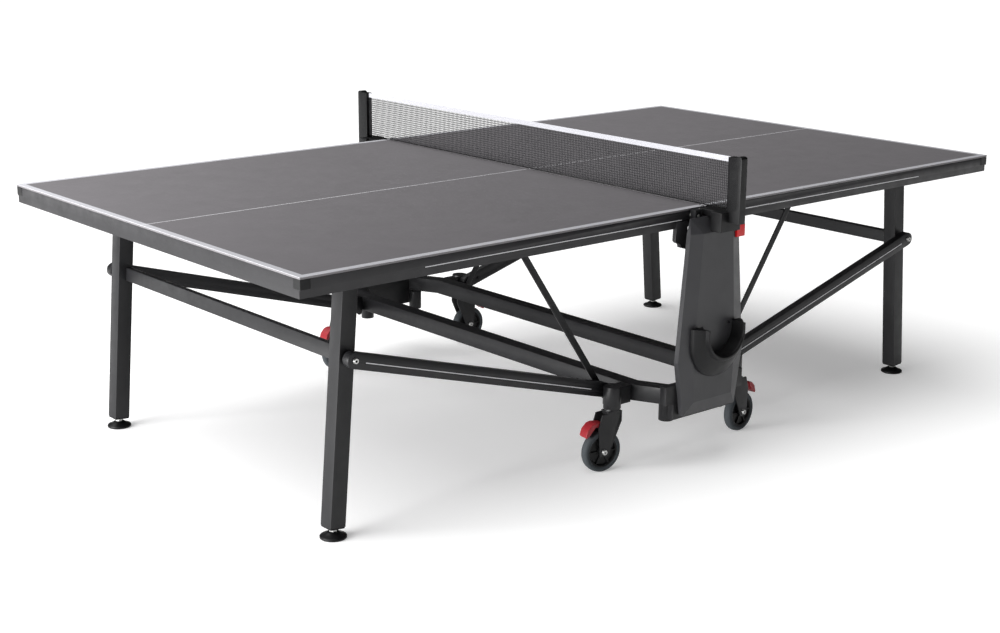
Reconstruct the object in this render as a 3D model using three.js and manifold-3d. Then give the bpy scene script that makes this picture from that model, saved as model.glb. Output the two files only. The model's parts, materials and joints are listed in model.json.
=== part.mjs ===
// A wheeled folding table-tennis table, in millimetres, +Z up.
// X runs along the playing length, Y across it, and the origin is on the floor under the net's middle.
// "left" is -X, "right" is +X, "near" is -Y and "far" is +Y.
import * as THREE from "three";
import { ConvexGeometry } from "three/addons/geometries/ConvexGeometry.js";
import { mergeVertices } from "three/addons/utils/BufferGeometryUtils.js";
import Module from "manifold-3d";

// Playing surface
const TABLE_LENGTH = 2740;
const TABLE_WIDTH = 1525;
const SURFACE_Z = 760;
const CENTRE_GAP = 10;
const TOP_THICKNESS = 6;
const FIT_GAP = 0.3;

// Steel apron frame under each half
const APRON_DEPTH = 54;
const APRON_FLANGE = 22;
const SHEET = 3;
const APRON_INNER_X = 34;
const APRON_CROSS_X = 62;
const APRON_STEP_Z = 727;
const APRON_STEP = 4;
const RIB_DEPTH = 20;
const RIB_WIDTH = 30;
const TUBE_WALL = 2.5;

// Folding: each half turns on a cross axle that slides down the tower guides
const AXLE_X = 50;
const AXLE_Z = 740;
const AXLE_RADIUS = 8;
const AXLE_HOLE_RADIUS = 8.6;
const JOURNAL_RADIUS = 5;
const SHOE_HALF_HEIGHT = 12;
const AXLE_DROP = 467;

// Leg frames
const LEG_TUBE = 47;
const LEG_Y = 582;
const LEG_PIVOT_X = 1115;
const LEG_PIVOT_Z = 690;
const LEG_TILT = THREE.MathUtils.degToRad(4.8);
const LEG_END_Z = 32;
const STRUT_PIVOT_DROP = 206;
const CROSSBAR_HEIGHT = 40;
const CROSSBAR_THICKNESS = 20;
const FOOT_RADIUS = 36;
const FOOT_STEM_RADIUS = 6;

// Struts and links beside each leg
const STRUT_TUBE = 43;
const STRUT_OUTER_Y = 641;
const STRUT_INNER_Y = 616;
const STRUT_LOW_X = 255;
const STRUT_LOW_Z = 232;
const LINK_WIDTH = 20;
const LINK_OUTER_Y = 613;
const LINK_INNER_Y = 608;
const LINK_LOW_X = 232;
const LINK_LOW_Z = 204;
const LINK_TOP_X = 583;
const LINK_TOP_Z = 719;
const PIN_RADIUS = 6;
const PIN_HOLE_RADIUS = 6.6;

// Undercarriage
const CROSS_TUBE = 48;
const CROSS_TUBE_X = 172;
const CROSS_TUBE_BEND_Y = 668;
const CROSS_TUBE_END_X = 125;
const CROSS_TUBE_TOP_Z = 247;
const TOWER_BACK_Y = 765;
const STUB_RADIUS = 22;
const STUB_X = 106;
const STUB_Y = 738;
const STUB_BOTTOM_Z = 137;

// Castors
const CASTOR_X = 256;
const CASTOR_Y = 668;
const SOCKET_RADIUS = 26;
const SOCKET_BOTTOM_Z = 187;
const SOCKET_TOP_Z = 252;
const WHEEL_RADIUS = 62.5;
const WHEEL_WIDTH = 28;
const TRAIL = 36;
const FORK_TOP_Z = SOCKET_BOTTOM_Z - 0.5;
const KINGPIN_RADIUS = 8;

// Towers, net and its posts
const GUIDE_THICKNESS = 20;
const GUIDE_WIDTH = 28;
const COVER_BACK_Y = 790.3;
const COVER_FRONT_Y = 820;
const COVER_WALL = 3.5;
const NET_HALF_LENGTH = 855;
const NET_TOP_Z = SURFACE_Z + 152.5;
const TAPE_HEIGHT = 15;
const POST_INNER_Y = 856;
const POST_STEP_Y = 865;
const POST_OUTER_Y = 906;
const POST_HALF_WIDTH = 12;
const POST_BOTTOM_Z = 728;
const NECK_BOTTOM_Z = 737.6;
const NECK_TOP_Z = 757;

const HALF_LENGTH = TABLE_LENGTH / 2;
const HALF_WIDTH = TABLE_WIDTH / 2;
const APRON_BOTTOM_Z = SURFACE_Z - APRON_DEPTH;
const APRON_TOP_Z = SURFACE_Z - TOP_THICKNESS - FIT_GAP;

const wasm = await Module();
wasm.setup();

// ---- solids -------------------------------------------------------------

function solid(geometry) {
  const bare = geometry.clone();
  bare.deleteAttribute("normal");
  bare.deleteAttribute("uv");
  const merged = mergeVertices(bare, 1e-4);
  return new wasm.Manifold(
    new wasm.Mesh({
      numProp: 3,
      vertProperties: merged.attributes.position.array,
      triVerts: new Uint32Array(merged.index.array),
    }),
  );
}

function geometryOf(body) {
  const mesh = body.getMesh();
  const geometry = new THREE.BufferGeometry();
  geometry.setAttribute("position", new THREE.BufferAttribute(mesh.vertProperties, 3));
  geometry.setIndex(new THREE.BufferAttribute(mesh.triVerts, 1));
  return geometry;
}

function join(...geometries) {
  const bodies = geometries.map(solid);
  return geometryOf(bodies.reduce((sum, body) => sum.add(body)));
}

function cut(geometry, ...tools) {
  const bodies = tools.map(solid);
  return geometryOf(bodies.reduce((rest, body) => rest.subtract(body), solid(geometry)));
}

// A block between two opposite corners.
function block([x0, x1], [y0, y1], [z0, z1]) {
  const geometry = new THREE.BoxGeometry(x1 - x0, y1 - y0, z1 - z0);
  return geometry.translate((x0 + x1) / 2, (y0 + y1) / 2, (z0 + z1) / 2);
}

// A round bar along Y, from y0 to y1, centred on (x, z).
function barAlongY(x, z, radius, [y0, y1], sides = 12) {
  const geometry = new THREE.CylinderGeometry(radius, radius, y1 - y0, sides);
  return geometry.translate(x, (y0 + y1) / 2, z);
}

// A round bar along Z, from z0 to z1, centred on (x, y).
function barAlongZ(x, y, radius, [z0, z1], sides = 20) {
  const geometry = new THREE.CylinderGeometry(radius, radius, z1 - z0, sides);
  return geometry.rotateX(Math.PI / 2).translate(x, y, (z0 + z1) / 2);
}

// A round bar along X, centred on (y, z).
function barAlongX([x0, x1], y, z, radius, sides = 12) {
  const geometry = new THREE.CylinderGeometry(radius, radius, x1 - x0, sides);
  return geometry.rotateZ(Math.PI / 2).translate((x0 + x1) / 2, y, z);
}

// An outline of (x, z) points extruded along Y from y0 to y1.
function plateAcrossY(shape, [y0, y1], curveSegments = 5) {
  const geometry = new THREE.ExtrudeGeometry(shape, {
    depth: y1 - y0,
    bevelEnabled: false,
    curveSegments,
  });
  return geometry.rotateX(Math.PI / 2).translate(0, y1, 0);
}

// A flat bar with round ends between two (x, z) pivots.
function barOutline(from, to, radius) {
  const along = to.clone().sub(from).angle();
  const shape = new THREE.Shape();
  shape.absarc(to.x, to.y, radius, along - Math.PI / 2, along + Math.PI / 2);
  shape.absarc(from.x, from.y, radius, along + Math.PI / 2, along + 1.5 * Math.PI);
  return shape;
}

function roundHole(centre, radius) {
  return new THREE.Path().absarc(centre.x, centre.y, radius, 0, 2 * Math.PI, true);
}

// The same piece on the right and/or far side: mirrored in X and/or Y.
function placed(geometry, sideX, sideY) {
  const copy = geometry.clone().scale(-sideX, -sideY, 1);
  if (sideX * sideY > 0) return copy;
  const flipped = mergeVertices(copy.index ? copy.toNonIndexed() : copy, 1e-5);
  const index = flipped.index.array;
  for (let i = 0; i < index.length; i += 3) {
    [index[i + 1], index[i + 2]] = [index[i + 2], index[i + 1]];
  }
  flipped.deleteAttribute("normal");
  flipped.deleteAttribute("uv");
  return flipped;
}

// ---- materials and nodes --------------------------------------------------

function finish(color, roughness, metalness) {
  return new THREE.MeshStandardMaterial({ color, roughness, metalness });
}

const PLAYING_GREY = finish(0x6a686e, 0.55, 0);
const APRON_STEEL = finish(0x35343a, 0.45, 0.5);
const BLACK_STEEL = finish(0x2b2b2d, 0.5, 0.6);
const ZINC_STEEL = finish(0x9a9a98, 0.35, 0.9);
const TOWER_PLASTIC = finish(0x47474b, 0.55, 0);
const BLACK_PLASTIC = finish(0x101012, 0.5, 0);
const RED_PLASTIC = finish(0xb5101c, 0.4, 0);
const TYRE_RUBBER = finish(0x565d62, 0.8, 0);
const NET_CORD = finish(0x55555a, 0.9, 0);
const TAPE_WHITE = finish(0xe4e4e6, 0.7, 0);

const table = new THREE.Group();

function node(name, geometry, material) {
  const mesh = new THREE.Mesh(geometry, material);
  mesh.name = name;
  table.add(mesh);
  return mesh;
}

const SIDES_X = [
  ["left", -1],
  ["right", 1],
];
const SIDES_Y = [
  ["near", -1],
  ["far", 1],
];

// Every piece below is shaped for the near left quarter, and placed() makes its copies.

// ---- the two table halves -------------------------------------------------

function playingTop() {
  return block(
    [-HALF_LENGTH, -CENTRE_GAP / 2],
    [-HALF_WIDTH, HALF_WIDTH],
    [SURFACE_Z - TOP_THICKNESS, SURFACE_Z],
  );
}

// A ring of folded steel with cross ribs, the lugs that hold the leg frame and the links, and lock plates.
function apronFrame() {
  const xOut = -HALF_LENGTH + 1;
  const yOut = HALF_WIDTH - 1;
  const insideY = [-yOut + APRON_FLANGE, yOut - APRON_FLANGE];
  const ring = cut(
    block([xOut, -APRON_INNER_X], [-yOut, yOut], [APRON_BOTTOM_Z, APRON_TOP_Z]),
    block([xOut + APRON_FLANGE, -APRON_CROSS_X - APRON_FLANGE], insideY, [APRON_BOTTOM_Z - 1, APRON_TOP_Z + 1]),
    block([-APRON_CROSS_X, 0], insideY, [APRON_BOTTOM_Z - 1, APRON_TOP_Z + 1]),
    block(
      [xOut + SHEET, -APRON_CROSS_X - SHEET],
      [-yOut + APRON_STEP + SHEET, yOut - APRON_STEP - SHEET],
      [APRON_BOTTOM_Z + SHEET, APRON_TOP_Z - SHEET],
    ),
    block([xOut - 1, 0], [-yOut - 1, -yOut + APRON_STEP], [APRON_BOTTOM_Z - 1, APRON_STEP_Z]),
    block([xOut - 1, 0], [yOut - APRON_STEP, yOut + 1], [APRON_BOTTOM_Z - 1, APRON_STEP_Z]),
  );
  const ribZ = [APRON_TOP_Z - RIB_DEPTH, APRON_TOP_Z];
  const ribY = [-yOut + APRON_STEP + 1, yOut - APRON_STEP - 1];
  const ribHalf = RIB_WIDTH / 2;
  const ribs = [LINK_TOP_X, LEG_PIVOT_X].map((x) =>
    cut(
      block([-x - ribHalf, -x + ribHalf], ribY, ribZ),
      block(
        [-x - ribHalf + TUBE_WALL, -x + ribHalf - TUBE_WALL],
        [insideY[0] + 1, insideY[1] - 1],
        [ribZ[0] + TUBE_WALL, ribZ[1] + 1],
      ),
    ),
  );
  const lugs = [-1, 1].flatMap((side) => [...legLugs(side), ...linkLug(side), lockPlate(side)]);
  const holes = [-1, 1].map((side) =>
    barAlongY(-AXLE_X, AXLE_Z, AXLE_HOLE_RADIUS, sorted(side * (yOut + 1), side * (yOut - APRON_FLANGE - 1))),
  );
  return cut(join(ring, ...ribs, ...lugs), ...holes);
}

function sorted(a, b) {
  return a < b ? [a, b] : [b, a];
}

const LUG_THICKNESS = 4;
const LUG_CLEARANCE = 0.6;
const LEG_LUG_HALF_WIDTH = 22;
const LEG_LUG_BOTTOM_Z = LEG_PIVOT_Z - 18;

function legLugs(side) {
  const halfTube = LEG_TUBE / 2 + LUG_CLEARANCE;
  const z = [LEG_LUG_BOTTOM_Z, APRON_TOP_Z - RIB_DEPTH + 1];
  const x = [-LEG_PIVOT_X - LEG_LUG_HALF_WIDTH, -LEG_PIVOT_X + LEG_LUG_HALF_WIDTH];
  const inner = LEG_Y - halfTube;
  const outer = LEG_Y + halfTube;
  return [
    block(x, sorted(side * inner, side * (inner - LUG_THICKNESS)), z),
    block(x, sorted(side * outer, side * (outer + LUG_THICKNESS)), z),
  ];
}

const LINK_LUG_Y = [LINK_OUTER_Y + 1.5, LINK_OUTER_Y + 6.5];
const LINK_LUG_HALF_WIDTH = 15;

function linkLug(side) {
  const x = [-LINK_TOP_X - LINK_LUG_HALF_WIDTH, -LINK_TOP_X + LINK_LUG_HALF_WIDTH];
  const z = [LINK_TOP_Z - 14, APRON_TOP_Z - RIB_DEPTH + 1];
  return [
    block(x, sorted(side * LINK_LUG_Y[0], side * LINK_LUG_Y[1]), z),
    barAlongY(-LINK_TOP_X, LINK_TOP_Z, PIN_RADIUS, sorted(side * (LINK_INNER_Y - 1.5), side * LINK_LUG_Y[1])),
  ];
}

const LOCK_PLATE_X = [-115, -68];
const LOCK_PLATE_Y = [750, 764];
const LOCK_PLATE_BOTTOM_Z = 642;

function lockPlate(side) {
  const outline = new THREE.Shape([
    new THREE.Vector2(LOCK_PLATE_X[0] + 4, APRON_STEP_Z - 2),
    new THREE.Vector2(LOCK_PLATE_X[0], LOCK_PLATE_BOTTOM_Z + 30),
    new THREE.Vector2(LOCK_PLATE_X[0] + 5, LOCK_PLATE_BOTTOM_Z + 24),
    new THREE.Vector2(LOCK_PLATE_X[0] + 19, LOCK_PLATE_BOTTOM_Z + 18),
    new THREE.Vector2(LOCK_PLATE_X[0] + 22, LOCK_PLATE_BOTTOM_Z + 8),
    new THREE.Vector2(LOCK_PLATE_X[1], LOCK_PLATE_BOTTOM_Z),
    new THREE.Vector2(LOCK_PLATE_X[1], APRON_STEP_Z - 2),
  ]);
  return plateAcrossY(outline, sorted(side * LOCK_PLATE_Y[0], side * LOCK_PLATE_Y[1]));
}

// The cross axle that a half turns on, with a square sliding shoe at each end.
function axle() {
  const journalEnd = TOWER_BACK_Y + 3 + GUIDE_THICKNESS;
  const shaftEnd = TOWER_BACK_Y + 1;
  return join(
    barAlongY(-AXLE_X, AXLE_Z, AXLE_RADIUS, [-shaftEnd, shaftEnd]),
    barAlongY(-AXLE_X, AXLE_Z, JOURNAL_RADIUS, [-journalEnd, journalEnd]),
  );
}

function shoe() {
  const half = AXLE_RADIUS;
  const y = [-TOWER_BACK_Y - 2.5 - GUIDE_THICKNESS, -TOWER_BACK_Y - 3.5];
  return cut(
    block([-AXLE_X - half, -AXLE_X + half], y, [AXLE_Z - SHOE_HALF_HEIGHT, AXLE_Z + SHOE_HALF_HEIGHT]),
    barAlongY(-AXLE_X, AXLE_Z, JOURNAL_RADIUS + FIT_GAP, [y[0] - 1, y[1] + 1]),
  );
}

for (const [side, sx] of SIDES_X) {
  node(`${side}_playing_top`, placed(playingTop(), sx, -1), PLAYING_GREY);
  node(`${side}_apron_frame`, placed(apronFrame(), sx, -1), APRON_STEEL);
}

// ---- leg frames -----------------------------------------------------------

// Leg pieces are shaped hanging straight down from the leg pivot, then tilted outwards about it.
function tilted(geometry) {
  return geometry.rotateY(LEG_TILT).translate(-LEG_PIVOT_X, 0, LEG_PIVOT_Z);
}

const LEG_TOP = 20;
const LEG_DROP = (LEG_PIVOT_Z - LEG_END_Z) / Math.cos(LEG_TILT);
const STEM_SOCKET_DEPTH = 40;

function leg() {
  const half = LEG_TUBE / 2;
  const body = block([-half, half], [-LEG_Y - half, -LEG_Y + half], [-LEG_DROP, LEG_TOP]);
  const socket = barAlongZ(0, -LEG_Y, FOOT_STEM_RADIUS + 0.6, [-LEG_DROP - 1, -LEG_DROP + STEM_SOCKET_DEPTH], 12);
  const inner = half - TUBE_WALL;
  const hollow = block([-inner, inner], [-LEG_Y - inner, -LEG_Y + inner], [-LEG_DROP + STEM_SOCKET_DEPTH + 4, LEG_TOP + 1]);
  return tilted(cut(body, socket, hollow));
}

function crossbar() {
  const end = LEG_Y - LEG_TUBE / 2 - FIT_GAP;
  const z = [-STRUT_PIVOT_DROP - CROSSBAR_HEIGHT / 2, -STRUT_PIVOT_DROP + CROSSBAR_HEIGHT / 2];
  return tilted(
    cut(
      block([0, CROSSBAR_THICKNESS], [-end, end], z),
      block([TUBE_WALL, CROSSBAR_THICKNESS - TUBE_WALL], [-end - 1, end + 1], [z[0] + TUBE_WALL, z[1] - TUBE_WALL]),
    ),
  );
}

const FOOT_BASE_HEIGHT = 9;
const FOOT_CONE_TOP_Z = 18;
const FOOT_STEM_LENGTH = 28;

function foot() {
  const profile = [
    new THREE.Vector2(0, 0),
    new THREE.Vector2(FOOT_RADIUS, 0),
    new THREE.Vector2(FOOT_RADIUS, FOOT_BASE_HEIGHT - 3),
    new THREE.Vector2(FOOT_RADIUS - 4, FOOT_BASE_HEIGHT),
    new THREE.Vector2(15, FOOT_CONE_TOP_Z),
    new THREE.Vector2(0, FOOT_CONE_TOP_Z),
  ];
  const endX = -LEG_PIVOT_X - Math.sin(LEG_TILT) * LEG_DROP;
  const disc = new THREE.LatheGeometry(profile, 24).rotateX(Math.PI / 2).translate(endX, -LEG_Y, 0);
  const nut = barAlongZ(0, -LEG_Y, 11, [-LEG_DROP - 16, -LEG_DROP - FIT_GAP], 6);
  const stem = barAlongZ(0, -LEG_Y, FOOT_STEM_RADIUS, [-LEG_DROP - 16, -LEG_DROP + FOOT_STEM_LENGTH], 12);
  return join(disc, tilted(nut), tilted(stem));
}

// ---- struts and links -----------------------------------------------------

const VENT_RADIUS = 4;

function strutEnds() {
  const reach = STRUT_PIVOT_DROP;
  const low = new THREE.Vector2(-STRUT_LOW_X, STRUT_LOW_Z);
  const high = new THREE.Vector2(
    -LEG_PIVOT_X - Math.sin(LEG_TILT) * reach,
    LEG_PIVOT_Z - Math.cos(LEG_TILT) * reach,
  );
  return [low, high];
}

function strut() {
  const [low, high] = strutEnds();
  const outline = barOutline(low, high, STRUT_TUBE / 2);
  outline.holes.push(roundHole(low, PIN_HOLE_RADIUS));
  const bar = plateAcrossY(outline, [-STRUT_OUTER_Y, -STRUT_INNER_Y]);
  const legFace = -LEG_Y - LEG_TUBE / 2;
  const bolt = barAlongY(high.x, high.y, PIN_RADIUS, [-STRUT_OUTER_Y - 4, legFace - 1.5]);
  const slope = high.clone().sub(low);
  const length = slope.length();
  const coreHalf = STRUT_TUBE / 2 - TUBE_WALL;
  const core = block(
    [STRUT_TUBE / 2 + 4, length - STRUT_TUBE / 2 - 4],
    [-STRUT_OUTER_Y + TUBE_WALL, -STRUT_INNER_Y - TUBE_WALL],
    [-coreHalf, coreHalf],
  );
  const vent = barAlongY(STRUT_TUBE, 0, VENT_RADIUS, [-STRUT_INNER_Y - TUBE_WALL - 1, -STRUT_INNER_Y + 1], 8);
  const laid = [core, vent].map((tool) => tool.rotateY(-slope.angle()).translate(low.x, 0, low.y));
  return cut(join(bar, bolt), ...laid);
}

function link() {
  const low = new THREE.Vector2(-LINK_LOW_X, LINK_LOW_Z);
  const high = new THREE.Vector2(-LINK_TOP_X, LINK_TOP_Z);
  const outline = barOutline(low, high, LINK_WIDTH / 2);
  outline.holes.push(roundHole(high, PIN_HOLE_RADIUS));
  return plateAcrossY(outline, [-LINK_OUTER_Y, -LINK_INNER_Y]);
}

// ---- undercarriage --------------------------------------------------------

// The plan of a cross tube: straight along Y, with both ends bent in towards the towers.
function crossTube() {
  const bend = new THREE.Vector2(-CROSS_TUBE_X, -CROSS_TUBE_BEND_Y);
  const end = new THREE.Vector2(-CROSS_TUBE_END_X, -TOWER_BACK_Y);
  const turn = Math.atan2(end.x - bend.x, bend.y - end.y);
  const bentBar = (half, overrun) => {
    const mitre = half * Math.tan(turn / 2);
    const endHalf = half / Math.cos(turn);
    const endX = end.x + overrun * Math.tan(turn);
    const quarter = (side) => [
      new THREE.Vector2(bend.x + side * half, bend.y + side * mitre),
      new THREE.Vector2(endX + side * endHalf, end.y - overrun),
    ];
    const [outerBend, outerEnd] = quarter(-1);
    const [innerBend, innerEnd] = quarter(1);
    const nearHalf = [outerBend, outerEnd, innerEnd, innerBend];
    const farHalf = nearHalf.map((p) => new THREE.Vector2(p.x, -p.y)).reverse();
    const plan = new THREE.Shape([...nearHalf, ...farHalf]);
    const bar = new THREE.ExtrudeGeometry(plan, { depth: 2 * half, bevelEnabled: false });
    return bar.translate(0, 0, CROSS_TUBE_TOP_Z - CROSS_TUBE / 2 - half);
  };
  const tube = cut(bentBar(CROSS_TUBE / 2, 0), bentBar(CROSS_TUBE / 2 - TUBE_WALL, 1));
  const stubs = [-1, 1].map((side) =>
    barAlongZ(-STUB_X, side * STUB_Y, STUB_RADIUS, [STUB_BOTTOM_Z, CROSS_TUBE_TOP_Z - CROSS_TUBE + 2]),
  );
  return join(tube, ...stubs);
}

// A castor's swivel socket, its arm to the cross tube, and the pins of the strut and the link.
function castorSocket() {
  const armZ = [CROSS_TUBE_TOP_Z - CROSS_TUBE - 4, CROSS_TUBE_TOP_Z];
  const armEnd = -CROSS_TUBE_X - CROSS_TUBE / 2 - FIT_GAP;
  const armX = [-CASTOR_X, armEnd];
  const barrel = barAlongZ(-CASTOR_X, -CASTOR_Y, SOCKET_RADIUS, [SOCKET_BOTTOM_Z, SOCKET_TOP_Z]);
  const arm = block(armX, [-CASTOR_Y - 14, -STRUT_OUTER_Y - 6], armZ);
  const strutPin = barAlongY(-STRUT_LOW_X, STRUT_LOW_Z, PIN_RADIUS, [-CASTOR_Y, -STRUT_INNER_Y + 1.5]);
  const linkPin = barAlongY(-LINK_LOW_X, LINK_LOW_Z, PIN_RADIUS, [-CASTOR_Y, -LINK_OUTER_Y - 1.5]);
  const cap = block(
    [-STRUT_LOW_X - 14, armEnd],
    [-STRUT_OUTER_Y - 6.5, -STRUT_OUTER_Y - 1],
    [STRUT_LOW_Z - 38, STRUT_LOW_Z + 14],
  );
  const bore = barAlongZ(-CASTOR_X, -CASTOR_Y, KINGPIN_RADIUS + 0.6, [SOCKET_BOTTOM_Z - 1, SOCKET_BOTTOM_Z + 11]);
  return cut(join(barrel, arm, strutPin, linkPin, cap), bore);
}

for (const [side, sx] of SIDES_X) {
  node(`${side}_cross_tube`, placed(crossTube(), sx, -1), BLACK_STEEL);
  node(`${side}_axle`, placed(axle(), sx, -1), ZINC_STEEL);
  node(`${side}_leg_crossbar`, placed(crossbar(), sx, -1), BLACK_STEEL);
  for (const [end, sy] of SIDES_Y) {
    node(`${end}_${side}_leg`, placed(leg(), sx, sy), BLACK_STEEL);
    node(`${end}_${side}_foot`, placed(foot(), sx, sy), BLACK_PLASTIC);
    node(`${end}_${side}_strut`, placed(strut(), sx, sy), BLACK_STEEL);
    node(`${end}_${side}_link`, placed(link(), sx, sy), BLACK_STEEL);
    node(`${end}_${side}_castor_socket`, placed(castorSocket(), sx, sy), BLACK_STEEL);
  }
}

// ---- towers ---------------------------------------------------------------

const GUIDE_Y = [-TOWER_BACK_Y - 3 - GUIDE_THICKNESS, -TOWER_BACK_Y - 3];
const GUIDE_TOP_Z = AXLE_Z + SHOE_HALF_HEIGHT + 5;
const GUIDE_BOTTOM_Z = 152;
const BASE_HALF_WIDTH = 160;
const BASE_Z = [200, 255];
const PLINTH_HALF_WIDTH = 128;
const BRIDGE_Z = [640, NECK_BOTTOM_Z - FIT_GAP];
const SLOT_CLEARANCE = 0.6;
const LEVER_X = [76, 108];
const LEVER_HINGE_Y = -797;
const LEVER_HINGE_Z = 698;
const LEVER_PIN_RADIUS = 3;
const LEVER_BOTTOM_Z = 668;

// The welded tower: a base plate, two slotted guides and a bridge between their upper ends.
function towerFrame() {
  const baseY = [GUIDE_Y[0], -TOWER_BACK_Y - FIT_GAP];
  const base = block([-BASE_HALF_WIDTH, BASE_HALF_WIDTH], baseY, BASE_Z);
  const plinth = block([-PLINTH_HALF_WIDTH, PLINTH_HALF_WIDTH], baseY, [GUIDE_BOTTOM_Z, BASE_Z[0] + 1]);
  const guides = [-1, 1].map((side) => {
    const x = side * AXLE_X;
    return cut(
      block([x - GUIDE_WIDTH / 2, x + GUIDE_WIDTH / 2], GUIDE_Y, [GUIDE_BOTTOM_Z, GUIDE_TOP_Z]),
      block(
        [x - AXLE_RADIUS - SLOT_CLEARANCE, x + AXLE_RADIUS + SLOT_CLEARANCE],
        [GUIDE_Y[0] - 1, GUIDE_Y[1] + 1],
        [AXLE_Z - AXLE_DROP - SHOE_HALF_HEIGHT - 2, AXLE_Z + SHOE_HALF_HEIGHT + 1],
      ),
    );
  });
  const bridge = block([-AXLE_X + AXLE_RADIUS + 2, AXLE_X - AXLE_RADIUS - 2], GUIDE_Y, BRIDGE_Z);
  const leverLug = block([60, LEVER_X[0] - 3], [LEVER_HINGE_Y - 6, GUIDE_Y[0] + 4], [LEVER_HINGE_Z - 8, LEVER_HINGE_Z + 8]);
  const leverPin = barAlongX([60, LEVER_X[1] - 6], LEVER_HINGE_Y, LEVER_HINGE_Z, LEVER_PIN_RADIUS);
  return join(base, plinth, ...guides, bridge, leverLug, leverPin);
}

// Half-widths of the cover's front face and of its sides, and the front's depth, at each height.
const COVER_SECTIONS = [
  { z: 163, front: 83, side: 108, y: COVER_FRONT_Y },
  { z: 325, front: 85, side: 134, y: COVER_FRONT_Y },
  { z: 695, front: 61, side: 99, y: COVER_FRONT_Y },
  { z: 737, front: 58, side: 88, y: COVER_BACK_Y + 6 },
];
const COVER_CHAMFER = 14;

function coverHull(inset) {
  const points = COVER_SECTIONS.flatMap(({ z, front, side, y }, i) => {
    const level = z + (i === 0 ? inset : i === COVER_SECTIONS.length - 1 ? -inset : 0);
    const back = inset ? COVER_BACK_Y - 1 : COVER_BACK_Y;
    const edge = Math.max(y - COVER_CHAMFER, COVER_BACK_Y + 1);
    return [-1, 1].flatMap((s) => [
      new THREE.Vector3(s * (front - inset / 2), -y + inset, level),
      new THREE.Vector3(s * (side - inset), -edge + inset / 2, level),
      new THREE.Vector3(s * (side - inset), -back, level),
    ]);
  });
  return new ConvexGeometry(points);
}

function towerCover() {
  const leverNotch = block([LEVER_X[0] - 2, 200], [-900, -700], [LEVER_BOTTOM_Z - 3, 800]);
  return cut(coverHull(0), coverHull(COVER_WALL), leverNotch);
}

// A U-shaped holder for bats and balls, open at its top.
const HOLDER_Y = [-COVER_FRONT_Y - 50, -COVER_FRONT_Y - FIT_GAP];
const HOLDER_OUTER = 101;
const HOLDER_OUTER_Z = 371;
const HOLDER_INNER = 70;
const HOLDER_INNER_Z = 409;
const HOLDER_TIP_Z = 425;

function ballHolder() {
  const outline = new THREE.Shape();
  outline.moveTo(-HOLDER_OUTER, HOLDER_TIP_Z);
  outline.absarc(0, HOLDER_OUTER_Z, HOLDER_OUTER, Math.PI, 2 * Math.PI);
  outline.lineTo(HOLDER_OUTER, HOLDER_TIP_Z);
  outline.lineTo(HOLDER_INNER, HOLDER_TIP_Z);
  outline.absarc(0, HOLDER_INNER_Z, HOLDER_INNER, 0, -Math.PI, true);
  outline.lineTo(-HOLDER_INNER, HOLDER_TIP_Z);
  return plateAcrossY(outline, HOLDER_Y, 10);
}

// The arm that carries the net post out from the tower.
function netBracket() {
  return join(
    block([-25, 25], [-COVER_FRONT_Y - 6, -TOWER_BACK_Y - 0.5], [NECK_BOTTOM_Z, NECK_TOP_Z]),
    block([-40, 40], [-POST_STEP_Y + FIT_GAP, -COVER_FRONT_Y - 2], [701, NECK_TOP_Z]),
  );
}

function netPost() {
  const sleeveBottom = NECK_TOP_Z + FIT_GAP;
  const postTop = 917;
  const r = 8;
  const outline = new THREE.Shape();
  outline.moveTo(-POST_OUTER_Y, POST_BOTTOM_Z);
  outline.lineTo(-POST_STEP_Y, POST_BOTTOM_Z);
  outline.lineTo(-POST_STEP_Y, sleeveBottom);
  outline.lineTo(-POST_INNER_Y, sleeveBottom);
  outline.lineTo(-POST_INNER_Y, NET_TOP_Z);
  outline.lineTo(-POST_OUTER_Y + 2 * r + 6, NET_TOP_Z);
  outline.absarc(-POST_OUTER_Y + r + 6, postTop - r, r, 0.45, Math.PI / 2);
  outline.absarc(-POST_OUTER_Y + r, postTop - r, r, Math.PI / 2, Math.PI);
  const depth = 2 * POST_HALF_WIDTH;
  const geometry = new THREE.ExtrudeGeometry(outline, { depth, bevelEnabled: false, curveSegments: 5 });
  return geometry.rotateX(Math.PI / 2).rotateZ(Math.PI / 2).translate(-POST_HALF_WIDTH, 0, 0);
}

// The red handle that frees one half for folding.
function releaseLever() {
  const body = block(LEVER_X, [-COVER_FRONT_Y - 2, LEVER_HINGE_Y + 5], [LEVER_BOTTOM_Z, LEVER_HINGE_Z + 5]);
  return cut(body, barAlongX([LEVER_X[0] - 1, LEVER_X[1] + 1], LEVER_HINGE_Y, LEVER_HINGE_Z, LEVER_PIN_RADIUS + 0.5));
}

for (const [end, sy] of SIDES_Y) {
  node(`${end}_tower_frame`, placed(towerFrame(), sy, sy), BLACK_STEEL);
  node(`${end}_tower_cover`, placed(towerCover(), sy, sy), TOWER_PLASTIC);
  node(`${end}_ball_holder`, placed(ballHolder(), -1, sy), BLACK_PLASTIC);
  node(`${end}_net_bracket`, placed(netBracket(), -1, sy), BLACK_PLASTIC);
  node(`${end}_net_post`, placed(netPost(), -1, sy), BLACK_PLASTIC);
  node(`${end}_release_lever`, placed(releaseLever(), sy, sy), RED_PLASTIC);
  for (const [side, sx] of SIDES_X) {
    node(`${end}_${side}_guide_shoe`, placed(shoe(), sx, sy), BLACK_PLASTIC);
  }
}

// ---- net ------------------------------------------------------------------

const NET_BOTTOM_Z = SURFACE_Z + 2.5;
const TAPE_BOTTOM_Z = NET_TOP_Z - TAPE_HEIGHT;
const NET_Y = [-NET_HALF_LENGTH, NET_HALF_LENGTH];

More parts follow.
